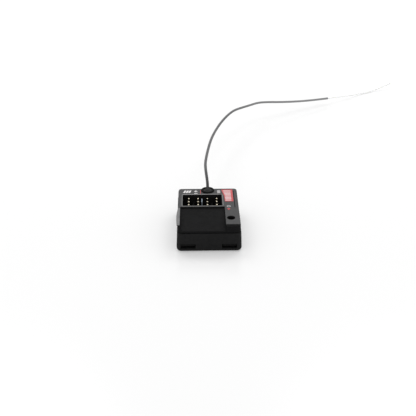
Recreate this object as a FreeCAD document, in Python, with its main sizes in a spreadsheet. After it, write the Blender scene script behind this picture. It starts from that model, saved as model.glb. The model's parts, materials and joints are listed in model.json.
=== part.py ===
import FreeCAD, Part
import math
import os

import Sketcher

# A small four-port radio-control receiver with a stiff coaxial aerial.
#
# The case is two black mouldings. The lower shell is a tub and stands on z = 0; the upper shell is
# a cap that sits on the tub's rim, reaches in with a tongue and four snap arms, and carries the
# label, the port well and the aerial's boss. A circuit board lies on posts in the tub.
#
# Frame: origin at the centre of the case's base, +X to the right, +Y towards the aerial's end,
# +Z up, millimetres.

SIZES = {
    # What makes up the cap's width, from left to right
    "rail_wide": 0.85,
    "window_border": 0.97,
    "window_left_gap": 0.48,
    "port_pitch": 3.6,
    "window_right_gap": 0.08,
    "panel_wide": 5.35,
    # What makes up the cap's length, from front to rear
    "ramp_long": 15.12,
    "bar_long": 0.87,
    "window_front_gap": 0.8,
    "pin_pitch": 2.54,
    "window_back_gap": 0.73,
    "rear_strip": 5.5,
    # Tub
    "cap_inset": 0.5,
    "parting_height": 7.5,
    "tub_wall": 1.2,
    "tub_lean": 0.29,
    "tub_floor": 1.0,
    "tub_corner": 1.8,
    "tub_foot_round": 1.3,
    "tub_rim_round": 0.3,
    "cavity_bevel": 0.45,
    # Cap
    "cap_rise": 2.85,
    "cap_wall": 1.2,
    "cap_roof": 1.2,
    "cap_corner": 1.5,
    "cap_edge_round": 0.3,
    "shadow_gap": 0.3,
    "shadow_depth": 0.35,
    "tongue_depth": 1.2,
    "tongue_wall": 0.8,
    "tongue_bevel": 0.9,
    "shell_clearance": 0.1,
    # Ramp in front of the ports
    "ramp_drop": 0.35,
    "ramp_fall": 1.5,
    "ramp_skin": 1.1,
    "ramp_cheek": 0.5,
    # Port well
    "well_wall": 0.8,
    "well_play": 0.3,
    "divider_wall": 0.8,
    "divider_drop": 3.0,
    # Pins, their plastic bases and their solder
    "pin_side": 0.64,
    "pin_sink": 0.25,
    "pin_tail": 0.75,
    "pin_bevel": 0.16,
    "pin_hole": 1.0,
    "pin_hole_bevel": 0.29,
    "header_wide": 2.5,
    "header_height": 1.6,
    "header_bevel": 0.45,
    "solder_diameter": 1.5,
    "solder_height": 0.6,
    # Snap fit
    "snap_height": 1.4,
    "snap_window_tall": 1.9,
    "snap_window_wide": 5.5,
    "snap_from_left": 4.3,
    "snap_from_right": 4.6,
    "snap_arm": 0.8,
    "snap_reach": 0.75,
    "snap_play": 0.2,
    # Aerial boss and grommet
    "boss_diameter": 5.0,
    "boss_from_rear": 1.75,
    "boss_rise": 0.6,
    "boss_reach": 2.0,
    "boss_recess": 0.45,
    "boss_recess_diameter": 3.6,
    "boss_bore": 2.4,
    "grommet_flange": 3.5,
    "grommet_crown": 0.4,
    "grommet_tail": 1.6,
    "grommet_bore_play": 0.03,
    # Aerial
    "coax_diameter": 1.13,
    "core_diameter": 0.8,
    "lead_bend_high": 0.7,
    "lead_bend_low": 1.5,
    "lead_bend_out": 0.7,
    "lead_landing": 1.9,
    "lead_gap": 0.68,
    "lead_past_saddle": 0.1,
    "saddle_wide": 1.9,
    "saddle_long": 0.9,
    "saddle_tall": 0.68,
    # Label
    "label_thickness": 0.25,
    "label_side": 0.15,
    "label_front": 0.87,
    "label_rear": 0.3,
    "label_margin": 0.15,
    "label_corner": 1.2,
    "label_bulge": 0.4,
    "label_bulge_round": 70.0,
    # Button and its switch
    "button_from_ramp": 2.0,
    "button_from_front": 6.23,
    "button_hole": 2.8,
    "button_stem": 2.2,
    "button_sink": 1.35,
    "button_edge": 0.22,
    "button_collar": 3.0,
    "button_collar_height": 0.4,
    "collar_play": 0.15,
    "stem_play": 0.1,
    "switch_side": 4.0,
    "switch_height": 2.0,
    "switch_cover": 0.25,
    "switch_leg": 0.35,
    "switch_leg_wide": 0.56,
    "switch_leg_tall": 0.8,
    "switch_leg_place": 1.4,
    "dome_height": 0.5,
    "dome_leaf": 0.12,
    "dome_shoulder": 0.84,
    "dome_shoulder_height": 0.375,
    # Board
    "post_tall": 1.0,
    "post_wide": 2.2,
    "post_long": 2.0,
    "post_end_gap": 0.1,
    "clamp_side": 1.0,
    "rib_wall": 0.8,
    "board_thickness": 1.0,
    "board_side_gap": 0.3,
    "board_end_gap": 0.2,
    "board_corner": 0.8,
    # Light and light guide
    "light_behind": 2.1,
    "light_wide": 0.8,
    "light_long": 1.6,
    "light_tall": 0.6,
    "guide_aside": 0.3,
    "guide_wall": 0.4,
    "guide_long": 2.8,
    "guide_play": 0.05,
    "guide_sink": 0.85,
    # Parts behind the button and the front row
    "can_side": 7.5,
    "can_height": 1.8,
    "can_metal": 0.2,
    "can_dimple": 3.0,
    "can_gap": 0.65,
    "switch_gap": 1.25,
    "radio_chip": 4.0,
    "brain_chip": 4.0,
    "chip_height": 0.85,
    "chip_standoff": 0.07,
    "chip_pad": 0.24,
    "chip_pad_pitch": 0.65,
    # Front row of parts
    "front_row": 1.8,
    "front_row_start": 1.5,
    "regulator_long": 4.5,
    "regulator_wide": 1.7,
    "regulator_height": 1.5,
    "regulator_leg": 0.45,
    "regulator_leg_tall": 0.36,
    "regulator_tab": 1.8,
    "regulator_gap": 0.9,
    "capacitor_long": 3.5,
    "capacitor_wide": 2.8,
    "capacitor_height": 1.9,
    "capacitor_contact": 0.28,
    "capacitor_gap": 0.8,
    "crystal_long": 2.5,
    "crystal_wide": 2.0,
    "crystal_height": 0.8,
    "crystal_rim": 0.16,
    # Chip capacitors and resistors
    "small_part_long": 1.6,
    "small_part_wide": 0.8,
    "small_part_tall": 0.55,
    "small_part_pitch": 1.5,
    "small_part_gap": 1.2,
    "resistor_gap": 3.2,
}

# The aerial's route outside the case, from the grommet's mouth over the arch to the table. Its
# points lie along Y from the boss's axis, and up from the base.
COAX_ROUTE = [
    (0.0, 0.0, 10.9), (0.0, 0.0, 13.3), (-0.25, 0.7, 15.5), (-0.55, 2.3, 17.2),
    (-0.75, 4.6, 18.2), (-0.75, 8.7, 18.6), (-0.2, 15.3, 18.5), (0.75, 24.6, 18.0),
    (2.1, 36.3, 17.1), (4.2, 48.3, 16.1), (7.0, 60.7, 15.1), (10.3, 72.6, 14.05),
    (14.6, 84.5, 12.9), (19.3, 92.1, 11.6), (23.9, 98.6, 10.5), (28.6, 106.1, 9.2),
    (34.0, 110.4, 8.0), (41.0, 114.1, 6.6), (50.5, 119.0, 5.1), (60.5, 124.6, 3.8),
    (70.0, 129.6, 3.1),
]

# The stripped end of the same cable, from the jacket's cut edge to its tip.
TIP_ROUTE = [
    (70.0, 129.6, 3.1), (77.5, 133.55, 2.55), (85.0, 139.3, 1.4), (93.0, 145.2, 0.5),
    (100.6, 149.8, 0.6), (106.8, 153.0, 1.8), (112.3, 155.3, 3.5),
]

PIN_NAMES = ("signal", "power", "ground")
PORTS = 4
ROWS = 3
CHIP_PADS = 5
CHIP_CAPACITORS = 4
CHIP_RESISTORS = 5
SOLDER_SIDES = 8
ARC_SHARE = 0.45
CUT_PAST = 1.0
UP = FreeCAD.Vector(0, 0, 1)

doc = FreeCAD.newDocument("Receiver")
sheet = doc.addObject("Spreadsheet::Sheet", "Sizes")
subparts = {}


class Size:
    """A length that knows both its value and the sheet expression that it comes from."""

    def __init__(self, value, text):
        self.value = float(value)
        self.text = text

    def __add__(self, other):
        other = as_size(other)
        return Size(self.value + other.value, "(%s + %s)" % (self.text, other.text))

    def __sub__(self, other):
        other = as_size(other)
        return Size(self.value - other.value, "(%s - %s)" % (self.text, other.text))

    def __mul__(self, other):
        other = as_size(other)
        return Size(self.value * other.value, "(%s * %s)" % (self.text, other.text))

    def __truediv__(self, other):
        other = as_size(other)
        return Size(self.value / other.value, "(%s / %s)" % (self.text, other.text))

    def __neg__(self):
        return Size(-self.value, "(0 - %s)" % self.text)


def as_size(number):
    return number if isinstance(number, Size) else Size(number, "%r" % float(number))


def fill_sheet():
    """Write each driving dimension into the sheet under its own name."""
    for row, (name, value) in enumerate(SIZES.items(), start=1):
        cell = "B%d" % row
        sheet.set("A%d" % row, name.replace("_", " "))
        sheet.set(cell, "%r" % value)
        sheet.setAlias(cell, name)
    doc.recompute()


def size(name):
    return Size(SIZES[name], "Sizes.%s" % name)


def bind(item, prop, length):
    """Tie one property of an object to a size."""
    item.setExpression(prop, as_size(length).text)


def vector(point):
    return FreeCAD.Vector(as_size(point[0]).value, as_size(point[1]).value, 0)


def new_body(label):
    body = doc.addObject("PartDesign::Body", label)
    body.Label = label
    return body


def sketch_on(body, role, name, level=0.0):
    """A sketch on one of the body's own origin planes, lifted along the plane's normal."""
    plane = next(item for item in body.Origin.OriginFeatures if item.Role == role)
    sketch = body.newObject("Sketcher::SketchObject", name)
    sketch.AttachmentSupport = [(plane, "")]
    sketch.MapMode = "FlatFace"
    bind(sketch, "AttachmentOffset.Base.z", level)
    return sketch


def hold(sketch, geometry, place, across, up):
    """Hold a point of the sketch by its two sizes from the sketch's origin."""
    for kind, axis, length in (("DistanceX", -2, across), ("DistanceY", -1, up)):
        length = as_size(length)
        if abs(length.value) < 1e-9:
            sketch.addConstraint(Sketcher.Constraint("PointOnObject", geometry, place, axis))
            continue
        number = sketch.addConstraint(
            Sketcher.Constraint(kind, -1, 1, geometry, place, length.value))
        sketch.setExpression("Constraints[%d]" % number, length.text)


def draw_outline(sketch, points):
    """A closed run of straight lines, each corner held by its own two sizes."""
    first = sketch.GeometryCount
    count = len(points)
    for number, point in enumerate(points):
        following = points[(number + 1) % count]
        sketch.addGeometry(Part.LineSegment(vector(point), vector(following)), False)
    for number in range(count):
        following = first + (number + 1) % count
        sketch.addConstraint(Sketcher.Constraint("Coincident", first + number, 2, following, 1))
    for number, (across, up) in enumerate(points):
        hold(sketch, first + number, 1, across, up)


def draw_box(sketch, left, right, low, high):
    draw_outline(sketch, [(left, low), (right, low), (right, high), (left, high)])


def draw_circle(sketch, across, up, diameter):
    diameter = as_size(diameter)
    number = sketch.addGeometry(Part.Circle(vector((across, up)), UP, diameter.value / 2), False)
    hold(sketch, number, 3, across, up)
    width = sketch.addConstraint(Sketcher.Constraint("Diameter", number, diameter.value))
    sketch.setExpression("Constraints[%d]" % width, diameter.text)


def bevelled_box(half_wide, half_long, bevel, centre=(0.0, 0.0)):
    """The corners of a rectangle whose four corners are cut at 45 degrees."""
    corners = [
        (-half_wide + bevel, -half_long), (half_wide - bevel, -half_long),
        (half_wide, -half_long + bevel), (half_wide, half_long - bevel),
        (half_wide - bevel, half_long), (-half_wide + bevel, half_long),
        (-half_wide, half_long - bevel), (-half_wide, -half_long + bevel),
    ]
    return [(across + centre[0], along + centre[1]) for across, along in corners]


def pad(body, sketch, name, length, backwards=False):
    feature = body.newObject("PartDesign::Pad", name)
    feature.Profile = sketch
    feature.Reversed = backwards
    bind(feature, "Length", length)
    doc.recompute()
    return feature


def pocket(body, sketch, name, length, backwards=False):
    """Cut a sketch into the body, and make sure that the cut takes something away."""
    before = body.Shape.Volume
    feature = body.newObject("PartDesign::Pocket", name)
    feature.Profile = sketch
    feature.Reversed = backwards
    bind(feature, "Length", length)
    doc.recompute()
    if not feature.Shape.Volume < before:
        raise RuntimeError("the pocket %s cuts nothing" % name)
    return feature


def mirror_front_to_rear(body, feature, name):
    """Repeat a feature on the other side of the body's XZ plane."""
    plane = next(item for item in body.Origin.OriginFeatures if item.Role == "XZ_Plane")
    mirrored = body.newObject("PartDesign::Mirrored", name)
    mirrored.Originals = [feature]
    mirrored.MirrorPlane = (plane, [""])
    body.Tip = mirrored
    doc.recompute()
    return mirrored


def edges_where(feature, wanted):
    return ["Edge%d" % number for number, edge in enumerate(feature.Shape.Edges, start=1)
            if wanted(edge)]


def dress(body, kind, base, name, radius, wanted):
    """Fillet or chamfer the edges of a feature that a test picks."""
    feature = body.newObject("PartDesign::" + kind, name)
    feature.Base = (base, edges_where(base, wanted))
    bind(feature, "Radius" if kind == "Fillet" else "Size", radius)
    doc.recompute()
    return feature


def at_corner(half_wide, half_long):
    """A test for edges that rise from the corners of a centred rectangle."""
    def wanted(edge):
        lowest = min((vertex.Point for vertex in edge.Vertexes), key=lambda point: point.z)
        return (edge.BoundBox.ZLength > 1e-6
                and abs(abs(lowest.x) - half_wide.value) < 1e-6
                and abs(abs(lowest.y) - half_long.value) < 1e-6)
    return wanted


def at_level(height, half_wide, half_long):
    """A test for the outer loop of edges at one height."""
    def wanted(edge):
        box = edge.BoundBox
        if abs(box.ZMin - height.value) > 1e-6 or abs(box.ZMax - height.value) > 1e-6:
            return False
        on_side = max(abs(box.XMin), abs(box.XMax)) > half_wide.value - 1e-6
        on_end = max(abs(box.YMin), abs(box.YMax)) > half_long.value - 1e-6
        return on_side or on_end
    return wanted


def place(item, across=0.0, along=0.0, height=0.0):
    """Tie an object's Placement to three sizes."""
    bind(item, "Placement.Base.x", across)
    bind(item, "Placement.Base.y", along)
    bind(item, "Placement.Base.z", height)


def block(label, centre, low, wide, long, tall):
    """A block that stands on a level, centred over a point."""
    item = doc.addObject("Part::Box", label)
    item.Label = label
    bind(item, "Length", wide)
    bind(item, "Width", long)
    bind(item, "Height", tall)
    place(item, centre[0] - as_size(wide) / 2, centre[1] - as_size(long) / 2, low)
    return item


def cylinder(label, centre, low, diameter, tall):
    item = doc.addObject("Part::Cylinder", label)
    item.Label = label
    bind(item, "Radius", as_size(diameter) / 2)
    bind(item, "Height", tall)
    place(item, centre[0], centre[1], low)
    return item


def gather(kind, label, shapes):
    """Fuse or group several shapes under one label."""
    item = doc.addObject(kind, label)
    item.Label = label
    if kind == "Part::Compound":
        item.Links = shapes
    else:
        item.Shapes = shapes
    return item


def cut(label, base, tool):
    item = doc.addObject("Part::Cut", label)
    item.Label = label
    item.Base = base
    item.Tool = tool
    return item


fill_sheet()

WINDOW_WIDE = (size("window_left_gap") + size("port_pitch") * PORTS
               + size("window_right_gap"))
WINDOW_LONG = (size("window_front_gap") + size("pin_pitch") * ROWS
               + size("window_back_gap"))
CAP_X = (size("rail_wide") + size("window_border") * 2 + WINDOW_WIDE + size("panel_wide")) / 2
CAP_Y = (size("ramp_long") + size("bar_long") + WINDOW_LONG + size("rear_strip")) / 2
CASE_X = CAP_X + size("cap_inset")
CASE_Y = CAP_Y + size("cap_inset")
RIM_X = CASE_X - size("tub_lean")
RIM_Y = CASE_Y - size("tub_lean")
CAVITY_X = CASE_X - size("tub_wall")
CAVITY_Y = CASE_Y - size("tub_wall")
TONGUE_X = CAVITY_X - size("shell_clearance")
TONGUE_Y = CAVITY_Y - size("shell_clearance")
ARM_INNER_Y = TONGUE_Y - size("snap_arm")
SNAP_CENTRES = (size("snap_from_left") - CASE_X, CASE_X - size("snap_from_right"))

RAMP_LEFT = size("rail_wide") - CAP_X
RAMP_RIGHT = CAP_X - size("panel_wide")
RAMP_BACK = size("ramp_long") - CAP_Y
WINDOW_LEFT = RAMP_LEFT + size("window_border")
WINDOW_RIGHT = WINDOW_LEFT + WINDOW_WIDE
WINDOW_FRONT = RAMP_BACK + size("bar_long")
WINDOW_BACK = WINDOW_FRONT + WINDOW_LONG
PORT_X = [WINDOW_LEFT + size("window_left_gap") + size("port_pitch") * (number + 0.5)
          for number in range(PORTS)]
PIN_ROW = WINDOW_FRONT + size("window_front_gap") + size("pin_pitch") * ROWS / 2
ROW_Y = [PIN_ROW + size("pin_pitch") * step for step in (1, 0, -1)]

CAP_TOP = size("parting_height") + size("cap_rise")
LABEL_TOP = CAP_TOP + size("label_thickness")
ROOF_UNDERSIDE = CAP_TOP - size("cap_roof")
RAMP_HIGH = CAP_TOP - size("ramp_drop")
RAMP_LOW = RAMP_HIGH - size("ramp_fall")
BOARD_BOTTOM = size("tub_floor") + size("post_tall")
BOARD_TOP = BOARD_BOTTOM + size("board_thickness")
WELL_BOTTOM = BOARD_TOP + size("header_height") + size("well_play")

BOARD_X = CAVITY_X - size("board_side_gap")
BOARD_Y = ARM_INNER_Y - size("board_end_gap")
POST_NEAR = BOARD_Y - size("post_long") - size("post_end_gap")

BOSS_Y = CAP_Y - size("boss_from_rear")
BOSS_TOP = CAP_TOP + size("boss_rise")
BOSS_BOTTOM = size("parting_height") - size("boss_reach")
LEAD_END_Y = PIN_ROW + size("pin_pitch") * ROWS / 2 + size("lead_gap")

BUTTON = (RAMP_RIGHT + size("button_from_ramp"), size("button_from_front") - CAP_Y)
SWITCH_TOP = BOARD_TOP + size("switch_height")
COLLAR_LOW = SWITCH_TOP - size("button_collar_height")
DOME_LOW = COLLAR_LOW - size("dome_height")
LIGHT = ((PORT_X[1] + PORT_X[2]) / 2, PIN_ROW + size("light_behind"))

FRONT_ROW_Y = size("front_row") - BOARD_Y
CAN_Y = FRONT_ROW_Y + size("capacitor_wide") / 2 + size("can_gap") + size("can_side") / 2
CAN_X = BUTTON[0] - size("switch_side") / 2 - size("switch_gap") - size("can_side") / 2
BRAIN_X = CAN_X - size("can_side") / 2 - size("can_gap") - size("brain_chip") / 2
REGULATOR_X = size("front_row_start") + size("regulator_long") / 2 - BOARD_X
CAPACITOR_X = (REGULATOR_X + size("regulator_long") / 2 + size("regulator_gap")
               + size("capacitor_long") / 2)
CRYSTAL_X = (CAPACITOR_X + size("capacitor_long") / 2 + size("capacitor_gap")
             + size("crystal_long") / 2)


def make_lower_shell():
    """The tub: walls that lean in a little, snap windows, board posts and the boss's socket."""
    body = new_body("lower_shell")
    outline = sketch_on(body, "XY_Plane", "TubOutline")
    draw_box(outline, -CASE_X, CASE_X, -CASE_Y, CASE_Y)
    tub = pad(body, outline, "Tub", size("parting_height"))
    tub.setExpression("TaperAngle", "-atan(Sizes.tub_lean / Sizes.parting_height)")
    doc.recompute()
    rounded = dress(body, "Fillet", tub, "TubCorners", size("tub_corner"), at_corner(CASE_X, CASE_Y))
    footed = dress(body, "Fillet", rounded, "TubFoot", size("tub_foot_round"),
                   at_level(as_size(0.0), CASE_X, CASE_Y))
    dress(body, "Fillet", footed, "TubRim", size("tub_rim_round"),
          at_level(size("parting_height"), RIM_X, RIM_Y))

    hollow = sketch_on(body, "XY_Plane", "CavityOutline", size("parting_height"))
    draw_outline(hollow, bevelled_box(CAVITY_X, CAVITY_Y, size("cavity_bevel")))
    pocket(body, hollow, "Cavity", size("parting_height") - size("tub_floor"))

    windows = sketch_on(body, "XZ_Plane", "SnapWindowOutline", CASE_Y)
    half_window = size("snap_window_wide") / 2
    for centre in SNAP_CENTRES:
        draw_box(windows, centre - half_window, centre + half_window,
                 size("snap_height"), size("snap_height") + size("snap_window_tall"))
    front = pocket(body, windows, "SnapWindows", size("tub_wall"))
    mirror_front_to_rear(body, front, "RearSnapWindows")

    socket = sketch_on(body, "XY_Plane", "BossSocketOutline", size("parting_height"))
    draw_circle(socket, 0.0, BOSS_Y, size("boss_diameter") + size("shell_clearance") * 2)
    pocket(body, socket, "BossSocket",
           size("parting_height") - BOSS_BOTTOM + size("shell_clearance"))

    posts = sketch_on(body, "XY_Plane", "PostOutline", size("tub_floor"))
    for side in (-1, 1):
        for end in (-1, 1):
            wall = CAVITY_X * side
            inner = (CAVITY_X - size("post_wide")) * side
            near = POST_NEAR * end
            far = (POST_NEAR + size("post_long")) * end
            draw_outline(posts, [(wall, near), (inner, near), (inner, far), (wall, far)])
    pad(body, posts, "Posts", size("post_tall"))

    ribs = sketch_on(body, "XY_Plane", "RibOutline", size("tub_floor"))
    rib_reach = CAVITY_X - size("post_wide")
    for centre in (WINDOW_FRONT - size("rib_wall"), WINDOW_BACK + size("rib_wall")):
        draw_box(ribs, -rib_reach, rib_reach,
                 centre - size("rib_wall") / 2, centre + size("rib_wall") / 2)
    pad(body, ribs, "Ribs", size("post_tall"))
    return body


def add_cap_skin(body):
    """The cap's stepped outside, its hollow and the tongue that reaches into the tub."""
    foot_x = CAP_X - size("shadow_depth")
    foot_y = CAP_Y - size("shadow_depth")
    foot_outline = sketch_on(body, "XY_Plane", "CapFootOutline", size("parting_height"))
    draw_box(foot_outline, -foot_x, foot_x, -foot_y, foot_y)
    foot = pad(body, foot_outline, "CapFoot", size("shadow_gap"))
    dress(body, "Fillet", foot, "CapFootCorners", size("cap_corner") - size("shadow_depth"),
          at_corner(foot_x, foot_y))

    crown_low = size("parting_height") + size("shadow_gap")
    crown_outline = sketch_on(body, "XY_Plane", "CrownOutline", crown_low)
    draw_box(crown_outline, -CAP_X, CAP_X, -CAP_Y, CAP_Y)
    crown = pad(body, crown_outline, "Crown", CAP_TOP - crown_low)
    rounded = dress(body, "Fillet", crown, "CrownCorners", size("cap_corner"),
                    at_corner(CAP_X, CAP_Y))
    dress(body, "Fillet", rounded, "CrownEdge", size("cap_edge_round"),
          at_level(CAP_TOP, CAP_X, CAP_Y))

    inner_x = CAP_X - size("cap_wall")
    inner_y = CAP_Y - size("cap_wall")
    hollow = sketch_on(body, "XY_Plane", "CapHollowOutline", size("parting_height"))
    draw_outline(hollow, bevelled_box(inner_x, inner_y, size("tongue_bevel")))
    pocket(body, hollow, "CapHollow", ROOF_UNDERSIDE - size("parting_height"), backwards=True)

    tongue_low = size("parting_height") - size("tongue_depth")
    tongue = sketch_on(body, "XY_Plane", "TongueOutline", tongue_low)
    draw_outline(tongue, bevelled_box(TONGUE_X, TONGUE_Y, size("tongue_bevel")))
    draw_outline(tongue, bevelled_box(TONGUE_X - size("tongue_wall"),
                                      TONGUE_Y - size("tongue_wall"), size("tongue_bevel")))
    pad(body, tongue, "Tongue", ROOF_UNDERSIDE + size("cap_roof") / 2 - tongue_low)


def add_ramp_block(body):
    """The block that the ramp, its cheek and the wall behind it are cut from."""
    start_y = -CAP_Y + size("cap_wall")
    back_y = WINDOW_FRONT - size("well_wall") / 2
    top = CAP_TOP - size("cap_roof") / 2
    profile = sketch_on(body, "YZ_Plane", "RampBlockProfile", RAMP_LEFT)
    draw_outline(profile, [
        (start_y, RAMP_LOW - size("ramp_skin")),
        (RAMP_BACK, RAMP_HIGH - size("ramp_skin")),
        (back_y, RAMP_HIGH - size("ramp_skin")),
        (back_y, top),
        (start_y, top),
    ])
    pad(body, profile, "RampBlock", RAMP_RIGHT - RAMP_LEFT + size("ramp_cheek"))


def add_port_well(body):
    """Walls that hang down round the four ports, the window through them, and the dividers."""
    wall = size("well_wall")
    outline = sketch_on(body, "XY_Plane", "WellOutline", WELL_BOTTOM)
    draw_box(outline, WINDOW_LEFT - wall, WINDOW_RIGHT + wall,
             WINDOW_FRONT - wall, WINDOW_BACK + wall)
    pad(body, outline, "WellWalls", CAP_TOP - size("cap_roof") / 2 - WELL_BOTTOM)

    window = sketch_on(body, "XY_Plane", "WellWindowOutline", CAP_TOP)
    draw_box(window, WINDOW_LEFT, WINDOW_RIGHT, WINDOW_FRONT, WINDOW_BACK)
    pocket(body, window, "WellWindow", CAP_TOP - WELL_BOTTOM)

    dividers = sketch_on(body, "XY_Plane", "DividerOutline", WELL_BOTTOM)
    half_wall = size("divider_wall") / 2
    front = WINDOW_FRONT - wall / 2
    back = WINDOW_BACK + wall / 2
    slot_front = LIGHT[1] - size("guide_long") / 2 - size("guide_play")
    slot_back = LIGHT[1] + size("guide_long") / 2 + size("guide_play")
    for number in range(PORTS - 1):
        centre = (PORT_X[number] + PORT_X[number + 1]) / 2
        stretches = [(front, back)]
        if number == 1:
            stretches = [(front, slot_front), (slot_back, back)]
        for low, high in stretches:
            draw_box(dividers, centre - half_wall, centre + half_wall, low, high)
    pad(body, dividers, "Dividers", CAP_TOP - size("divider_drop") - WELL_BOTTOM)


def cut_ramp(body):
    """Take away what lies over the ramp, from the bar before the ports to the front wall."""
    beyond = CAP_Y + CUT_PAST
    above = CAP_TOP + CUT_PAST
    profile = sketch_on(body, "YZ_Plane", "RampProfile", RAMP_LEFT)
    draw_outline(profile, [
        (-beyond, RAMP_LOW),
        (-CAP_Y, RAMP_LOW),
        (RAMP_BACK, RAMP_HIGH),
        (RAMP_BACK, above),
        (-beyond, above),
    ])
    pocket(body, profile, "Ramp", RAMP_RIGHT - RAMP_LEFT, backwards=True)


def add_boss(body):
    """The round boss at the rear edge, with the grommet's recess and bore."""
    tower = sketch_on(body, "XY_Plane", "BossOutline", BOSS_BOTTOM)
    draw_circle(tower, 0.0, BOSS_Y, size("boss_diameter"))
    pad(body, tower, "Boss", BOSS_TOP - BOSS_BOTTOM)
    recess = sketch_on(body, "XY_Plane", "BossRecessOutline", BOSS_TOP)
    draw_circle(recess, 0.0, BOSS_Y, size("boss_recess_diameter"))
    pocket(body, recess, "BossRecess", size("boss_recess"))
    bore = sketch_on(body, "XY_Plane", "BossBoreOutline", BOSS_TOP)
    draw_circle(bore, 0.0, BOSS_Y, size("boss_bore"))
    pocket(body, bore, "BossBore", BOSS_TOP - BOSS_BOTTOM)


def add_snap_arms(body):
    """Front snap arms with sloped barbs, repeated at the rear."""
    arm_low = size("snap_height") + size("snap_play")
    barb_high = size("snap_height") + size("snap_window_tall") - size("snap_play")
    arm_width = size("snap_window_wide") - size("snap_play") * 2
    barb_y = -TONGUE_Y - size("snap_reach")
    for number, centre in enumerate(SNAP_CENTRES):
        profile = sketch_on(body, "YZ_Plane", "SnapArmProfile%d" % number,
                            centre - arm_width / 2)
        draw_outline(profile, [
            (-ARM_INNER_Y, arm_low),
            (-TONGUE_Y, arm_low),
            (barb_y, barb_high - size("snap_reach")),
            (barb_y, barb_high),
            (-TONGUE_Y, barb_high),
            (-TONGUE_Y, size("parting_height")),
            (-ARM_INNER_Y, size("parting_height")),
        ])
        arm = pad(body, profile, "SnapArm%d" % number, arm_width)
        mirror_front_to_rear(body, arm, "RearSnapArm%d" % number)


def add_board_clamps(body):
    """Four square posts under the tongue that hold the board down on the tub's posts."""
    outline = sketch_on(body, "XY_Plane", "ClampOutline", BOARD_TOP)
    outer = TONGUE_X - size("tongue_wall") / 2
    inner = outer - size("clamp_side")
    near = POST_NEAR + (size("post_long") - size("clamp_side")) / 2
    far = near + size("clamp_side")
    for side in (-1, 1):
        for end in (-1, 1):
            draw_outline(outline, [(outer * side, near * end), (inner * side, near * end),
                                   (inner * side, far * end), (outer * side, far * end)])
    pad(body, outline, "BoardClamps", size("parting_height") - BOARD_TOP)


def make_upper_shell():
    """The cap, built from its skin inwards, then opened for the ramp, the boss and the button."""
    body = new_body("upper_shell")
    add_cap_skin(body)
    add_ramp_block(body)
    add_port_well(body)
    cut_ramp(body)
    add_boss(body)
    hole = sketch_on(body, "XY_Plane", "ButtonHoleOutline", CAP_TOP)
    draw_circle(hole, BUTTON[0], BUTTON[1], size("button_hole"))
    pocket(body, hole, "ButtonHole", size("cap_roof"))
    add_snap_arms(body)
    add_board_clamps(body)
    return body


def make_top_label():
    """The U-shaped label film, with openings for the ports, the boss and the button.

    Its left edge has lifted off the case and bows outwards, so that side is one long arc.
    """
    body = new_body("top_label")
    side = CAP_X - size("label_side")
    front = -CAP_Y + size("label_front")
    rear = CAP_Y - size("label_rear")
    bulge = -side - size("label_bulge")
    corners = [
        (-side, RAMP_BACK), (bulge, front), (RAMP_LEFT, front), (RAMP_LEFT, RAMP_BACK),
        (RAMP_RIGHT, RAMP_BACK), (RAMP_RIGHT, front), (side, front), (side, rear),
        (-side, rear),
    ]
    outline = sketch_on(body, "XY_Plane", "LabelOutline", CAP_TOP)
    radius = size("label_bulge_round")
    start = vector(corners[0])
    end = vector(corners[1])
    half = (end - start) * 0.5
    away = FreeCAD.Vector(-half.y, half.x, 0).normalize()
    if away.x < 0:
        away = -away
    centre = start + half + away * math.sqrt(radius.value ** 2 - half.Length ** 2)
    angles = sorted(math.atan2(point.y - centre.y, point.x - centre.x) % (2 * math.pi)
                    for point in (start, end))
    arc = Part.ArcOfCircle(Part.Circle(centre, UP, radius.value), angles[0], angles[1])
    outline.addGeometry(arc, False)
    for number in range(1, len(corners)):
        following = corners[(number + 1) % len(corners)]
        outline.addGeometry(Part.LineSegment(vector(corners[number]), vector(following)), False)
    last = len(corners) - 1
    outline.addConstraint(Sketcher.Constraint("Coincident", 0, 1, last, 2))
    outline.addConstraint(Sketcher.Constraint("Coincident", 0, 2, 1, 1))
    for number in range(1, last):
        outline.addConstraint(Sketcher.Constraint("Coincident", number, 2, number + 1, 1))
    for number in range(1, len(corners)):
        hold(outline, number, 1, corners[number][0], corners[number][1])
    hold(outline, last, 2, corners[0][0], corners[0][1])
    bend = outline.addConstraint(Sketcher.Constraint("Radius", 0, radius.value))
    outline.setExpression("Constraints[%d]" % bend, radius.text)
    film = pad(body, outline, "LabelFilm", size("label_thickness"))
    dress(body, "Fillet", film, "LabelCorners", size("label_corner"),
          lambda edge: at_corner(side, rear)(edge) and edge.Vertexes[0].Y > 0)

    margin = size("label_margin")
    openings = sketch_on(body, "XY_Plane", "LabelOpenings", LABEL_TOP)
    draw_box(openings, WINDOW_LEFT - margin, WINDOW_RIGHT + margin,
             WINDOW_FRONT - margin, WINDOW_BACK + margin)
    draw_circle(openings, BUTTON[0], BUTTON[1], size("button_hole") + margin * 2)
    pocket(body, openings, "LabelWindows", size("label_thickness"))
    bite = sketch_on(body, "XY_Plane", "LabelBite", LABEL_TOP)
    draw_circle(bite, 0.0, BOSS_Y, size("boss_diameter") + margin * 2)
    pocket(body, bite, "BossBite", size("label_thickness"))
    return body


def make_turned(label, points, centre, low):
    """A body that is one profile turned about its own upright axis."""
    body = new_body(label)
    profile = sketch_on(body, "XZ_Plane", label + "_profile")
    draw_outline(profile, points)
    turned = body.newObject("PartDesign::Revolution", label + "_turned")
    turned.Profile = profile
    turned.ReferenceAxis = (profile, ["V_Axis"])
    turned.Angle = 360.0
    place(body, centre[0], centre[1], low)
    doc.recompute()
    return body


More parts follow.
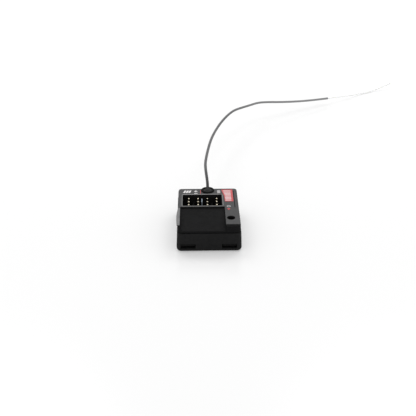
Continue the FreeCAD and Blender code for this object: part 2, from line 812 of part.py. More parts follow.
def make_antenna_grommet():
    """A rubber bush: a shallow domed flange in the boss's recess and a stem in its bore."""
    bore = size("coax_diameter") / 2 + size("grommet_bore_play")
    flange = size("grommet_flange") / 2
    stem = size("boss_bore") / 2
    seat = size("grommet_tail")
    crown = seat + size("grommet_crown")
    return make_turned("antenna_grommet", [
        (bore, 0.0), (stem, 0.0), (stem, seat), (flange, seat),
        (flange, seat + size("grommet_crown") / 2), ((flange + bore) / 2, crown), (bore, crown),
    ], (0.0, BOSS_Y), BOSS_TOP - size("boss_recess") - size("grommet_tail"))


def rounded_path(points):
    """Straight runs joined by tangent arcs; each arc is as large as its two runs allow."""
    corners = [FreeCAD.Vector(*point) for point in points]
    edges = []
    radii = []
    start = corners[0]
    for before, corner, after in zip(corners, corners[1:], corners[2:]):
        back = before - corner
        ahead = after - corner
        turn = math.pi - back.getAngle(ahead)
        trim = ARC_SHARE * min(back.Length, ahead.Length)
        radii.append(trim / math.tan(turn / 2))
        back.normalize()
        ahead.normalize()
        entry = corner + back * trim
        leave = corner + ahead * trim
        centre_way = (back + ahead).normalize()
        centre = corner + centre_way * (radii[-1] / math.cos(turn / 2))
        middle = centre - centre_way * radii[-1]
        edges.append(Part.LineSegment(start, entry).toShape())
        edges.append(Part.Arc(entry, middle, leave).toShape())
        start = leave
    edges.append(Part.LineSegment(start, corners[-1]).toShape())
    return Part.Wire(edges), radii


def make_cable(label, route, diameter):
    """A round cable along a route from the boss, its volume compared with section times length."""
    points = [(across, BOSS_Y.value + along, up) for across, along, up in route]
    path, radii = rounded_path(points)
    first = FreeCAD.Vector(*points[0])
    heading = FreeCAD.Vector(*points[1]) - first
    ring = Part.Wire([Part.Circle(first, heading, diameter / 2).toShape()])
    shape = path.makePipeShell([ring], True, False)
    wanted = math.pi * diameter ** 2 / 4 * path.Length
    print("%s: length %.1f mm, smallest radius %.2f mm, volume %.4f of section times length"
          % (label, path.Length, min(radii), shape.Volume / wanted))
    print("   radii", " ".join("%.1f" % radius for radius in radii))
    item = doc.addObject("Part::Feature", label)
    item.Label = label
    item.Shape = shape
    return item


def make_main_board():
    """The circuit board: a plate with rounded corners and twelve eight-sided pin holes."""
    body = new_body("main_board")
    outline = sketch_on(body, "XY_Plane", "BoardOutline", BOARD_BOTTOM)
    draw_box(outline, -BOARD_X, BOARD_X, -BOARD_Y, BOARD_Y)
    plate = pad(body, outline, "BoardPlate", size("board_thickness"))
    dress(body, "Fillet", plate, "BoardCorners", size("board_corner"), at_corner(BOARD_X, BOARD_Y))
    holes = sketch_on(body, "XY_Plane", "PinHoles", BOARD_TOP)
    half_hole = size("pin_hole") / 2
    for across in PORT_X:
        for along in ROW_Y:
            draw_outline(holes, bevelled_box(half_hole, half_hole, size("pin_hole_bevel"),
                                             (across, along)))
    pocket(body, holes, "BoardHoles", size("board_thickness"))
    return body


def make_port_header(number):
    """One port's plastic pin base: three bevelled cells in a row, each with a square hole."""
    label = "port_header_%d" % (number + 1)
    body = new_body(label)
    half = size("header_wide") / 2
    cell = size("pin_pitch") / 2
    bevel = size("header_bevel")
    right = []
    left = []
    for step in (-1, 0, 1):
        middle = size("pin_pitch") * step
        right += [(half - bevel, middle - cell), (half, middle - cell + bevel),
                  (half, middle + cell - bevel)]
        left += [(-half, middle - cell + bevel), (-half, middle + cell - bevel),
                 (-half + bevel, middle + cell)]
    end = size("pin_pitch") * ROWS / 2
    corners = right + [(half - bevel, end)]
    corners += list(reversed(left)) + [(-half + bevel, -end)]
    outline = sketch_on(body, "XY_Plane", "HeaderOutline%d" % number)
    draw_outline(outline, corners)
    pad(body, outline, "HeaderBase%d" % number, size("header_height"))
    holes = sketch_on(body, "XY_Plane", "HeaderHoles%d" % number, size("header_height"))
    half_pin = size("pin_side") / 2
    for step in (-1, 0, 1):
        middle = size("pin_pitch") * step
        draw_box(holes, -half_pin, half_pin, middle - half_pin, middle + half_pin)
    pocket(body, holes, "HeaderPinHoles%d" % number, size("header_height"))
    place(body, PORT_X[number], PIN_ROW, BOARD_TOP)
    return body


def make_port_pin(label, across, along):
    """A square pin with bevelled ends, through its header and the board."""
    body = new_body(label)
    half = size("pin_side") / 2
    outline = sketch_on(body, "XY_Plane", label + "_outline")
    draw_box(outline, -half, half, -half, half)
    low = BOARD_BOTTOM - size("pin_tail")
    length = CAP_TOP - size("pin_sink") - low
    shank = pad(body, outline, label + "_shank", length)
    ends = (0.0, length.value)
    dress(body, "Chamfer", shank, label + "_ends", size("pin_bevel"),
          lambda edge: edge.BoundBox.ZLength < 1e-6
          and min(abs(edge.BoundBox.ZMin - level) for level in ends) < 1e-6)
    place(body, across, along, low)
    return body


def make_header_solder():
    """Twelve solder joints on the board's underside, one round each pin's tail."""
    low = BOARD_BOTTOM - size("solder_height")
    joints = []
    for across in PORT_X:
        for along in ROW_Y:
            name = "solder_%d" % (len(joints) + 1)
            joint = doc.addObject("Part::Prism", name + "_joint")
            joint.Polygon = SOLDER_SIDES
            bind(joint, "Circumradius", size("solder_diameter") / 2)
            bind(joint, "Height", size("solder_height"))
            place(joint, across, along, low)
            tail = block(name + "_tail", (across, along), low - CUT_PAST, size("pin_side"),
                         size("pin_side"), size("solder_height") + CUT_PAST * 2)
            joints.append(cut(name, joint, tail))
    return gather("Part::Compound", "header_solder", joints)


def make_rf_shield_can():
    """A folded metal lid: five walls, open at the bottom, with a pick-up dimple in its top."""
    centre = (CAN_X, CAN_Y)
    metal = size("can_metal")
    outside = block("can_outside", centre, BOARD_TOP, size("can_side"), size("can_side"),
                    size("can_height"))
    inside = block("can_inside", centre, BOARD_TOP - CUT_PAST, size("can_side") - metal * 2,
                   size("can_side") - metal * 2, size("can_height") - metal + CUT_PAST)
    hollow = cut("can_hollow", outside, inside)
    dimple = cylinder("can_dimple", centre, BOARD_TOP + size("can_height") - metal / 2,
                      size("can_dimple"), metal)
    return cut("rf_shield_can", hollow, dimple)


def make_chip(label, centre, side):
    """A square flat chip body with a row of contact pads under each of its four edges."""
    contact = size("chip_pad")
    standoff = size("chip_standoff")
    bodies = [block(label + "_body", centre, BOARD_TOP + standoff, side, side,
                    size("chip_height") - standoff)]
    reach = side / 2 - contact / 2
    for number in range(CHIP_PADS):
        offset = size("chip_pad_pitch") * (number - (CHIP_PADS - 1) / 2)
        for index, (across, along) in enumerate(((offset, reach), (offset, -reach),
                                                 (reach, offset), (-reach, offset))):
            bodies.append(block("%s_pad_%d_%d" % (label, number, index),
                                (centre[0] + across, centre[1] + along),
                                BOARD_TOP, contact, contact, standoff * 2))
    return gather("Part::MultiFuse", label, bodies)


def make_crystal():
    """A metal-lidded crystal: a ceramic base with a smaller lid."""
    centre = (CRYSTAL_X, FRONT_ROW_Y)
    rim = size("crystal_rim")
    base = block("crystal_base", centre, BOARD_TOP, size("crystal_long"), size("crystal_wide"),
                 size("crystal_height") - rim * 2)
    lid = block("crystal_lid", centre, BOARD_TOP, size("crystal_long") - rim * 2,
                size("crystal_wide") - rim * 2, size("crystal_height"))
    return gather("Part::MultiFuse", "crystal", [base, lid])


def make_voltage_regulator():
    """A power package: a moulded body, three legs in front and one wide tab behind."""
    half_wide = size("regulator_wide") / 2
    leg = size("regulator_leg")
    foot = size("regulator_leg_tall")
    pieces = [block("regulator_body", (REGULATOR_X, FRONT_ROW_Y), BOARD_TOP,
                    size("regulator_long"), size("regulator_wide"), size("regulator_height"))]
    for step in (-1, 0, 1):
        pieces.append(block("regulator_leg_%d" % (step + 2),
                            (REGULATOR_X + size("regulator_long") * step / 3,
                             FRONT_ROW_Y - half_wide),
                            BOARD_TOP, leg, leg * 2, foot))
    pieces.append(block("regulator_tab", (REGULATOR_X, FRONT_ROW_Y + half_wide),
                        BOARD_TOP, size("regulator_tab"), leg * 2, foot))
    return gather("Part::MultiFuse", "voltage_regulator", pieces)


def make_input_capacitor():
    """A moulded tantalum capacitor with a bent contact at each end."""
    centre = (CAPACITOR_X, FRONT_ROW_Y)
    contact = size("capacitor_contact")
    body = block("capacitor_body", centre, BOARD_TOP, size("capacitor_long") - contact * 2,
                 size("capacitor_wide"), size("capacitor_height"))
    ends = block("capacitor_ends", centre, BOARD_TOP, size("capacitor_long"),
                 size("capacitor_wide") - contact * 2, size("capacitor_height") / 2)
    return gather("Part::MultiFuse", "input_capacitor", [body, ends])


def make_small_parts(label, centres, turned):
    """A group of equal chip parts on the board."""
    long = size("small_part_wide") if turned else size("small_part_long")
    wide = size("small_part_long") if turned else size("small_part_wide")
    return gather("Part::Compound", label, [
        block("%s_%d" % (label, number + 1), centre, BOARD_TOP, long, wide,
              size("small_part_tall"))
        for number, centre in enumerate(centres)])


def make_status_led():
    """The light on the board between ports two and three, under the light guide."""
    return block("status_led", LIGHT, BOARD_TOP, size("light_wide"), size("light_long"),
                 size("light_tall"))


def make_light_guide():
    """The clear strip in the middle divider's slot; it stands on the light."""
    body = new_body("status_light_guide")
    low = BOARD_TOP + size("light_tall")
    tall = CAP_TOP - size("guide_sink") - low
    half = size("guide_long") / 2
    bevel = size("guide_wall") / 2
    sketch = sketch_on(body, "YZ_Plane", "GuideProfile", -size("guide_wall") / 2)
    draw_outline(sketch, [(-half, 0.0), (half, 0.0), (half, tall - bevel),
                          (half - bevel, tall), (-half + bevel, tall), (-half, tall - bevel)])
    pad(body, sketch, "GuideStrip", size("guide_wall"))
    place(body, LIGHT[0] - size("guide_aside"), LIGHT[1], low)
    return body


def make_switch_body():
    """The switch's moulded base with a round well for the dome and the button's collar."""
    side = size("switch_side")
    base = block("switch_base", BUTTON, BOARD_TOP, side, side, size("switch_height"))
    well = cylinder("switch_well", BUTTON, DOME_LOW,
                    size("button_collar") + size("collar_play") * 2, size("switch_height"))
    return cut("bind_switch_body", base, well)


def make_switch_dome():
    """The thin domed contact under the button, with a flat rim."""
    half = size("button_collar") / 2 - size("collar_play")
    top = size("dome_height")
    leaf = size("dome_leaf")
    shoulder = size("dome_shoulder")
    level = size("dome_shoulder_height")
    return make_turned("bind_switch_dome", [
        (0.0, top - leaf), (shoulder, level - leaf), (half, 0.0), (half, leaf),
        (shoulder, level), (0.0, top),
    ], BUTTON, DOME_LOW)


def make_switch_cover():
    """The stamped plate that keeps the button's collar in the switch."""
    side = size("switch_side")
    plate = block("cover_plate", BUTTON, SWITCH_TOP, side, side, size("switch_cover"))
    hole = cylinder("cover_hole", BUTTON, SWITCH_TOP - CUT_PAST,
                    size("button_stem") + size("stem_play") * 2,
                    size("switch_cover") + CUT_PAST * 2)
    return cut("bind_switch_cover", plate, hole)


def make_switch_legs():
    """Four soldered legs at the switch's corners."""
    reach = size("switch_side") / 2 + size("switch_leg") / 2
    legs = []
    for side in (-1, 1):
        for end in (-1, 1):
            centre = (BUTTON[0] + size("switch_leg_place") * side, BUTTON[1] + reach * end)
            legs.append(block("switch_leg_%d" % (len(legs) + 1), centre, BOARD_TOP,
                              size("switch_leg_wide"), size("switch_leg"),
                              size("switch_leg_tall")))
    return gather("Part::Compound", "bind_switch_legs", legs)


def make_bind_button():
    """The button: a collar held in the switch and a stem that ends in the cap's hole."""
    collar = size("button_collar") / 2
    stem = size("button_stem") / 2
    top = CAP_TOP - size("button_sink") - COLLAR_LOW
    edge = size("button_edge")
    return make_turned("bind_button", [
        (0.0, 0.0), (collar, 0.0), (collar, size("button_collar_height")),
        (stem, size("button_collar_height")), (stem, top - edge), (stem - edge, top), (0.0, top),
    ], BUTTON, COLLAR_LOW)


def make_antenna_lead():
    """The cable's stretch inside the case: down through the grommet and onto the board."""
    mouth = COAX_ROUTE[0][2]
    resting = BOARD_TOP.value + size("coax_diameter").value / 2
    route = [
        (0.0, 0.0, mouth),
        (0.0, 0.0, BOSS_BOTTOM.value + size("lead_bend_high").value),
        (0.0, -size("lead_bend_out").value, BOARD_TOP.value + size("lead_bend_low").value),
        (0.0, -size("lead_landing").value, resting),
        (0.0, LEAD_END_Y.value - BOSS_Y.value, resting),
    ]
    return make_cable("antenna_lead", route, size("coax_diameter").value)


def make_lead_solder():
    """The solder that fixes the lead's braid to the board, with the lead's bed in it."""
    along = LEAD_END_Y + size("lead_past_saddle") + size("saddle_long") / 2
    metal = block("saddle_block", (as_size(0.0), along), BOARD_TOP, size("saddle_wide"),
                  size("saddle_long"), size("saddle_tall"))
    bed = doc.addObject("Part::Cylinder", "saddle_bed")
    bind(bed, "Radius", size("coax_diameter") / 2)
    bind(bed, "Height", size("saddle_long") + CUT_PAST * 2)
    bed.Placement.Rotation = FreeCAD.Rotation(FreeCAD.Vector(1, 0, 0), -90)
    place(bed, 0.0, along - size("saddle_long") / 2 - CUT_PAST,
          BOARD_TOP + size("coax_diameter") / 2)
    return cut("antenna_lead_solder", metal, bed)


def small_part_places():
    """Places for the chip capacitors before the ports and the chip resistors beside them."""
    pitch = size("small_part_pitch")
    row = CAN_Y + size("brain_chip") / 2 + size("small_part_gap")
    last = BRAIN_X + size("brain_chip") / 2 - size("small_part_wide") / 2
    capacitors = [(last - pitch * step, row) for step in range(CHIP_CAPACITORS)]
    resistors = [(WINDOW_RIGHT + size("resistor_gap"), WINDOW_FRONT + pitch * step)
                 for step in range(CHIP_RESISTORS)]
    return capacitors, resistors


def keep(item):
    subparts[item.Label] = item


def build():
    keep(make_lower_shell())
    keep(make_upper_shell())
    keep(make_top_label())
    keep(make_antenna_grommet())
    keep(make_cable("antenna_coax", COAX_ROUTE, size("coax_diameter").value))
    keep(make_cable("antenna_tip", TIP_ROUTE, size("core_diameter").value))
    keep(make_antenna_lead())
    keep(make_lead_solder())
    keep(make_main_board())
    for number in range(PORTS):
        keep(make_port_header(number))
        for name, along in zip(PIN_NAMES, ROW_Y):
            keep(make_port_pin("port_%d_%s_pin" % (number + 1, name), PORT_X[number], along))
    keep(make_header_solder())
    keep(make_rf_shield_can())
    keep(make_chip("rf_transceiver", (CAN_X, CAN_Y), size("radio_chip")))
    keep(make_chip("microcontroller", (BRAIN_X, CAN_Y), size("brain_chip")))
    keep(make_crystal())
    keep(make_voltage_regulator())
    keep(make_input_capacitor())
    capacitors, resistors = small_part_places()
    keep(make_small_parts("chip_capacitors", capacitors, True))
    keep(make_small_parts("chip_resistors", resistors, False))
    keep(make_status_led())
    keep(make_light_guide())
    keep(make_switch_body())
    keep(make_switch_dome())
    keep(make_switch_cover())
    keep(make_switch_legs())
    keep(make_bind_button())


def check_and_write():
    """Write each sub-part, once every object of the document is sound."""
    doc.recompute()
    faults = [item.Label for item in doc.Objects
              if "Invalid" in item.State or "Error" in item.State]
    for label, item in subparts.items():
        shape = item.Shape
        if shape.isNull() or not shape.isValid() or not shape.Solids:
            faults.append(label)
    if faults:
        raise RuntimeError("unsound objects: " + ", ".join(faults))
    os.makedirs("parts", exist_ok=True)
    for label, item in subparts.items():
        item.Shape.exportStep("parts/%s.step" % label)
    print("%d sub-parts written" % len(subparts))


build()
check_and_write()
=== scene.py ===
import json
import math

import bmesh
import bpy
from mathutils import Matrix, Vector


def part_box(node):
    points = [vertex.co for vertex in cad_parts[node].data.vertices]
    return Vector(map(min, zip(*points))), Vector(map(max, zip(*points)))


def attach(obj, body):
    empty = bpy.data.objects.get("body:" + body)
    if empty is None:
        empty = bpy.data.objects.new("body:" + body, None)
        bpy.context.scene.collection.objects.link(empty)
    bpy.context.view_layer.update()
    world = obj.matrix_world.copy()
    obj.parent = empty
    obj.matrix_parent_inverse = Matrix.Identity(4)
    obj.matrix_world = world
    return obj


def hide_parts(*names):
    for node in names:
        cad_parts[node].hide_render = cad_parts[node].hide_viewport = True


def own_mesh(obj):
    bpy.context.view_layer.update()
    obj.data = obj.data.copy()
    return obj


# The looks of a small four-port radio-control receiver with a stiff coaxial aerial.
# Frame: origin at the centre of the case's base, +X right, +Y towards the aerial's end, +Z up, metres.

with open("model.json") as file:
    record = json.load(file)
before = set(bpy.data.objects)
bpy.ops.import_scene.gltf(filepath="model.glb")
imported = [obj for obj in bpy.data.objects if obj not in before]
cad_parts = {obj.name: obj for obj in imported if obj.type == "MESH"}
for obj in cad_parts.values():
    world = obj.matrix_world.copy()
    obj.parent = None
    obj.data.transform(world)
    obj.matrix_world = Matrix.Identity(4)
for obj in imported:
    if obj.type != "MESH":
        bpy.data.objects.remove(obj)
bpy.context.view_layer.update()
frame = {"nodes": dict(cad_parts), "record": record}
nodes = frame["nodes"]

MM = 0.001

# Camera: in front of the ramped end, a little left of it, looking down.
CAMERA_PLACE = (-0.00515, -0.24055, 0.13739)
CAMERA_DOWN = math.radians(27.92)
CAMERA_RIGHT = math.radians(1.193)
CAMERA_LENS = 62.0
CAMERA_SENSOR = 36.0

# The aerial's two stretches; each has the route of its solid.
COAX_DIAMETER = 1.13 * MM
CORE_DIAMETER = 0.8 * MM
CONDUCTOR_DIAMETER = 0.28 * MM
COAX_ROUTE = [
    (0.0, 0.01357, 0.0109), (0.0, 0.01357, 0.0133), (-0.00025, 0.01427, 0.0155),
    (-0.00055, 0.01587, 0.0172), (-0.00075, 0.01817, 0.0182), (-0.00075, 0.02227, 0.0186),
    (-0.0002, 0.02887, 0.0185), (0.00075, 0.03817, 0.018), (0.0021, 0.04987, 0.0171),
    (0.0042, 0.06187, 0.0161), (0.007, 0.07427, 0.0151), (0.0103, 0.08617, 0.01405),
    (0.0146, 0.09807, 0.0129), (0.0193, 0.10567, 0.0116), (0.0239, 0.11217, 0.0105),
    (0.0286, 0.11967, 0.0092), (0.034, 0.12397, 0.008), (0.041, 0.12767, 0.0066),
    (0.0505, 0.13257, 0.0051), (0.0605, 0.13817, 0.0038), (0.07, 0.14317, 0.0031),
]
TIP_ROUTE = [
    (0.07, 0.14317, 0.0031), (0.0775, 0.14712, 0.00255), (0.085, 0.15287, 0.0014),
    (0.093, 0.15877, 0.0005), (0.1006, 0.16337, 0.0006), (0.1068, 0.16657, 0.0018),
    (0.1123, 0.16887, 0.0035),
]

# The switch's sprung contact under the button.
DOME_LEAF = 0.12 * MM
DOME_SHOULDER = 0.84 * MM
DOME_SHOULDER_HEIGHT = 0.375 * MM

# Printing on the label: how far the ink stands above the film and how deep its sides go into it.
INK_RISE = 0.015 * MM
INK_SINK = 0.05 * MM
SECOND_INK_RISE = INK_RISE * 2
MARK_CORNER = 0.15 * MM
ARC_STEPS = 6

# The label's left edge, which has come off the case. It lifts from a root inside the straight edge
# to a rim past it, and both its bow and its curl rise and fall along its length.
EDGE_LONG = 13.2 * MM
EDGE_ROOT = 0.65 * MM
EDGE_PAST = 0.05 * MM
EDGE_BOW = 0.55 * MM
EDGE_LIFT = 0.3 * MM
EDGE_ABOVE = 0.01 * MM
EDGE_THICK = 0.12 * MM
EDGE_STEPS = 40
EDGE_SHARES = (0.0, 0.25, 0.5, 0.75, 1.0)
BOW_REACH = 0.82
BOW_SHAPE = 0.8
CURL_SHAPE = 1.6

# The table, and how much white the camera sees mixed into it.
TABLE_RADIUS = 2.5
TABLE_DROP = 0.02 * MM
TABLE_LIFT = 0.28

# Light: the world's strength on the object and to the eye, and two lamps behind the case.
WORLD_LIGHT = 0.9
WORLD_SEEN = 1.0
LAMP_PLACES = {"lamp_left": (-0.3, 0.45, 0.7), "lamp_right": (0.3, 0.45, 0.7)}
LAMP_AIM = (0.0, 0.05, 0.0)
LAMP_SIZE = 0.4
LAMP_POWER = 1.2

# Between these shares lie most of a noise texture's values.
NOISE_LOW = 0.3
NOISE_HIGH = 0.7

# The printed film's roughness, from its smoothest to its most rubbed, and the rubbing's grain.
FILM_SMOOTH = 0.28
FILM_ROUGHNESS = 0.34
FILM_RUBBED = 0.42
FILM_GRAIN = 0.5 * MM

# Places that the print lines up with: the label's own edges, the ports' opening, which stands a
# little off the pin bases, the ramp's right side and the button's hole.
label_low, label_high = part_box("top_label")
ports_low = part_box("port_header_1")[0]
ports_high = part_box("port_header_4")[1]
button_low, button_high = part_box("bind_button")
# The label's straight left edge mirrors its right one, and its box also holds the bow past it.
LABEL_TOP = label_high.z
LABEL_FRONT = label_low.y
LABEL_RIGHT = label_high.x
LABEL_LEFT = -LABEL_RIGHT
LABEL_REAR = label_high.y
OPENING_LEFT = ports_low.x - 1.18 * MM
OPENING_RIGHT = ports_high.x + 0.78 * MM
OPENING_FRONT = ports_low.y - 0.95 * MM
OPENING_BACK = ports_high.y + 0.88 * MM
RAMP_RIGHT = OPENING_RIGHT + 0.82 * MM
HOLE = (button_low + button_high) / 2


def new_material(name, colour, roughness, metallic=0.0, specular=0.5):
    """A Principled material and its node tree."""
    material = bpy.data.materials.new(name)
    material.use_nodes = True
    shader = material.node_tree.nodes["Principled BSDF"]
    shader.inputs["Base Color"].default_value = (*colour, 1.0)
    shader.inputs["Roughness"].default_value = roughness
    shader.inputs["Metallic"].default_value = metallic
    shader.inputs["Specular IOR Level"].default_value = specular
    return material


def shader_of(material):
    """The material's Principled node."""
    return material.node_tree.nodes["Principled BSDF"]


def shade(colour, share):
    """A colour made darker or lighter by a share of itself."""
    return tuple(min(1.0, channel * share) for channel in colour)


def noise(material, size, detail=3.0, stretch=(1.0, 1.0, 1.0)):
    """Noise whose grains are about one size across, fixed to the object."""
    tree = material.node_tree
    place = tree.nodes.new("ShaderNodeTexCoord")
    mapping = tree.nodes.new("ShaderNodeMapping")
    mapping.inputs["Scale"].default_value = stretch
    texture = tree.nodes.new("ShaderNodeTexNoise")
    texture.inputs["Scale"].default_value = 1.0 / size
    texture.inputs["Detail"].default_value = detail
    tree.links.new(place.outputs["Object"], mapping.inputs["Vector"])
    tree.links.new(mapping.outputs["Vector"], texture.inputs["Vector"])
    return texture.outputs["Fac"]


def vary_colour(material, source, dark, light, low=NOISE_LOW, high=NOISE_HIGH):
    """Mix two colours by a texture."""
    tree = material.node_tree
    ramp = tree.nodes.new("ShaderNodeValToRGB")
    ramp.color_ramp.elements[0].position = low
    ramp.color_ramp.elements[0].color = (*dark, 1.0)
    ramp.color_ramp.elements[1].position = high
    ramp.color_ramp.elements[1].color = (*light, 1.0)
    tree.links.new(source, ramp.inputs["Fac"])
    tree.links.new(ramp.outputs["Color"], shader_of(material).inputs["Base Color"])


def vary_roughness(material, source, smooth, rough):
    """Spread the roughness between two values by a texture."""
    tree = material.node_tree
    spread = tree.nodes.new("ShaderNodeMapRange")
    spread.inputs["From Min"].default_value = NOISE_LOW
    spread.inputs["From Max"].default_value = NOISE_HIGH
    spread.inputs["To Min"].default_value = smooth
    spread.inputs["To Max"].default_value = rough
    tree.links.new(source, spread.inputs["Value"])
    tree.links.new(spread.outputs["Result"], shader_of(material).inputs["Roughness"])


def add_bump(material, source, height):
    """Raise the surface by a texture, on top of any bump that is there already."""
    tree = material.node_tree
    bump = tree.nodes.new("ShaderNodeBump")
    bump.inputs["Distance"].default_value = height
    normal = shader_of(material).inputs["Normal"]
    if normal.is_linked:
        tree.links.new(normal.links[0].from_socket, bump.inputs["Normal"])
    tree.links.new(source, bump.inputs["Height"])
    tree.links.new(bump.outputs["Normal"], normal)


def spark_texture(name, colour, specular):
    """Black moulding with a fine spark-eroded texture and faint handling marks."""
    material = new_material(name, colour, 0.6, specular=specular)
    handled = noise(material, 0.9 * MM, 4.0)
    vary_colour(material, handled, colour, shade(colour, 1.45), 0.35, 0.75)
    vary_roughness(material, noise(material, 2.5 * MM), 0.52, 0.68)
    add_bump(material, noise(material, 0.12 * MM, 2.0), 0.008 * MM)
    return material


def label_film(name, colour, specular):
    """A laminated dark print film: satin, almost flat, with a slow waviness and fine rubbing."""
    material = new_material(name, colour, FILM_ROUGHNESS, specular=specular)
    vary_colour(material, noise(material, 1.6 * MM), shade(colour, 0.85), shade(colour, 1.2))
    vary_roughness(material, noise(material, FILM_GRAIN, 5.0), FILM_SMOOTH, FILM_RUBBED)
    add_bump(material, noise(material, 3.0 * MM, 1.0), 0.02 * MM)
    add_bump(material, noise(material, 0.1 * MM, 3.0), 0.0015 * MM)
    return material


def ink(name, colour, specular=0.5):
    """Ink under the film's lamination, with a little screen mottle; the black ink also makes the
    painted shadow strip.
    """
    material = new_material(name, colour, FILM_ROUGHNESS, specular=specular)
    vary_colour(material, noise(material, 0.25 * MM), shade(colour, 0.88), colour)
    vary_roughness(material, noise(material, FILM_GRAIN, 5.0), FILM_SMOOTH, FILM_RUBBED)
    return material


def fade_along(material, near, far, near_colour, far_colour):
    """Let the base colour change with the distance towards the aerial's end, with a fine mottle."""
    mottle_share = 0.2
    tree = material.node_tree
    place = tree.nodes.new("ShaderNodeTexCoord")
    split = tree.nodes.new("ShaderNodeSeparateXYZ")
    tree.links.new(place.outputs["Object"], split.inputs["Vector"])
    spread = tree.nodes.new("ShaderNodeMapRange")
    spread.inputs["From Min"].default_value = near
    spread.inputs["From Max"].default_value = far
    spread.inputs["To Min"].default_value = mottle_share / 2
    spread.inputs["To Max"].default_value = 1.0 - mottle_share / 2
    tree.links.new(split.outputs["Y"], spread.inputs["Value"])
    mottle = tree.nodes.new("ShaderNodeMath")
    mottle.operation = "MULTIPLY_ADD"
    mottle.inputs[1].default_value = mottle_share
    tree.links.new(noise(material, 1.5 * MM, 4.0), mottle.inputs[0])
    tree.links.new(spread.outputs["Result"], mottle.inputs[2])
    vary_colour(material, mottle.outputs["Value"], near_colour, far_colour, mottle_share, 1.0)


def extruded_jacket():
    """Grey extruded jacket, paler towards its end, with faint flow lines and rubbed patches."""
    near_colour = (0.08, 0.08, 0.082)
    far_colour = (0.25, 0.25, 0.254)
    material = new_material("coax_jacket", near_colour, 0.5, specular=0.35)
    fade_along(material, 0.085, 0.135, near_colour, far_colour)
    vary_roughness(material, noise(material, 0.8 * MM), 0.42, 0.58)
    add_bump(material, noise(material, 0.2 * MM, 3.0), 0.006 * MM)
    return material


def dielectric():
    """Pale, slightly translucent insulation of the stripped aerial tip."""
    material = new_material("cable_core", (0.93, 0.93, 0.92), 0.4)
    shader_of(material).inputs["Subsurface Weight"].default_value = 0.6
    shader_of(material).inputs["Subsurface Radius"].default_value = (0.8 * MM, 0.8 * MM, 0.75 * MM)
    vary_colour(material, noise(material, 1.2 * MM), (0.91, 0.91, 0.9), (0.96, 0.96, 0.95))
    add_bump(material, noise(material, 0.3 * MM), 0.004 * MM)
    return material


def plated(name, colour, roughness):
    """Plated metal with a soft drawn grain and duller patches."""
    material = new_material(name, colour, roughness, metallic=1.0)
    vary_colour(material, noise(material, 0.4 * MM), shade(colour, 0.8), colour)
    vary_roughness(material, noise(material, 0.3 * MM), roughness * 0.8, roughness * 1.25)
    add_bump(material, noise(material, 0.08 * MM, 2.0, (1.0, 1.0, 0.2)), 0.002 * MM)
    return material


def moulded(name, colour, roughness, specular=0.4):
    """A plain moulded or cast material with a fine grain."""
    material = new_material(name, colour, roughness, specular=specular)
    vary_colour(material, noise(material, 0.5 * MM, 4.0), colour, shade(colour, 1.3))
    vary_roughness(material, noise(material, 0.6 * MM), roughness * 0.88, roughness * 1.12)
    add_bump(material, noise(material, 0.15 * MM, 3.0), 0.004 * MM)
    return material


def solder_mask():
    """A circuit board's green mask with the glass weave faintly showing."""
    material = new_material("circuit_board", (0.01, 0.07, 0.035), 0.32)
    vary_colour(material, noise(material, 0.7 * MM), (0.008, 0.055, 0.028), (0.014, 0.085, 0.045))
    for stretch in ((1.0, 3.0, 1.0), (3.0, 1.0, 1.0)):
        add_bump(material, noise(material, 0.35 * MM, 1.0, stretch), 0.004 * MM)
    return material


def clear_guide():
    """Frosted clear moulding that looks pale blue against the dark well."""
    material = new_material("clear_guide", (0.3, 0.36, 0.42), 0.45)
    shader_of(material).inputs["Transmission Weight"].default_value = 0.35
    shader_of(material).inputs["IOR"].default_value = 1.49
    vary_roughness(material, noise(material, 0.2 * MM), 0.38, 0.52)
    return material


MATERIALS = {
    "lower_case": spark_texture("lower_case", (0.0088, 0.0088, 0.009), 0.09),
    "upper_case": spark_texture("upper_case", (0.0072, 0.0072, 0.0074), 0.035),
    "label": label_film("label_film", (0.026, 0.026, 0.027), 0.3),
    "grommet": moulded("grommet", (0.012, 0.012, 0.012), 0.7, specular=0.3),
    "coax_jacket": extruded_jacket(),
    "cable_core": dielectric(),
    "solder": plated("solder", (0.72, 0.72, 0.72), 0.3),
    "circuit_board": solder_mask(),
    "tinned_steel": plated("tinned_steel", (0.68, 0.68, 0.66), 0.35),
    "chip_plastic": moulded("chip_plastic", (0.018, 0.018, 0.019), 0.55),
    "tantalum_yellow": moulded("tantalum_yellow", (0.6, 0.36, 0.06), 0.5),
    "ceramic_tan": moulded("ceramic_tan", (0.42, 0.3, 0.17), 0.55),
    "resistor_black": moulded("resistor_black", (0.02, 0.02, 0.022), 0.35),
    "led_white": moulded("led_white", (0.78, 0.78, 0.7), 0.4),
    "clear_guide": clear_guide(),
    "switch_plastic": moulded("switch_plastic", (0.02, 0.02, 0.02), 0.5),
    "contact_steel": plated("contact_steel", (0.66, 0.66, 0.64), 0.32),
    "button_plastic": moulded("button_plastic", (0.016, 0.016, 0.017), 0.5),
    "header_plastic": moulded("header_plastic", (0.005, 0.005, 0.005), 0.55, specular=0.1),
    "pin_gold": plated("pin_gold", (0.92, 0.84, 0.66), 0.14),
}


def dress_nodes():
    """Give each node of the frame the material that its record names."""
    for row in frame["record"]["subparts"]:
        slots = nodes[row["node"]].data.materials
        slots.clear()
        slots.append(MATERIALS[row["material_slot"]])


def link(name, data, material):
    """Show a new piece that rides on the case."""
    data.materials.append(material)
    piece = bpy.data.objects.new(name, data)
    bpy.context.scene.collection.objects.link(piece)
    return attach(piece, "case")


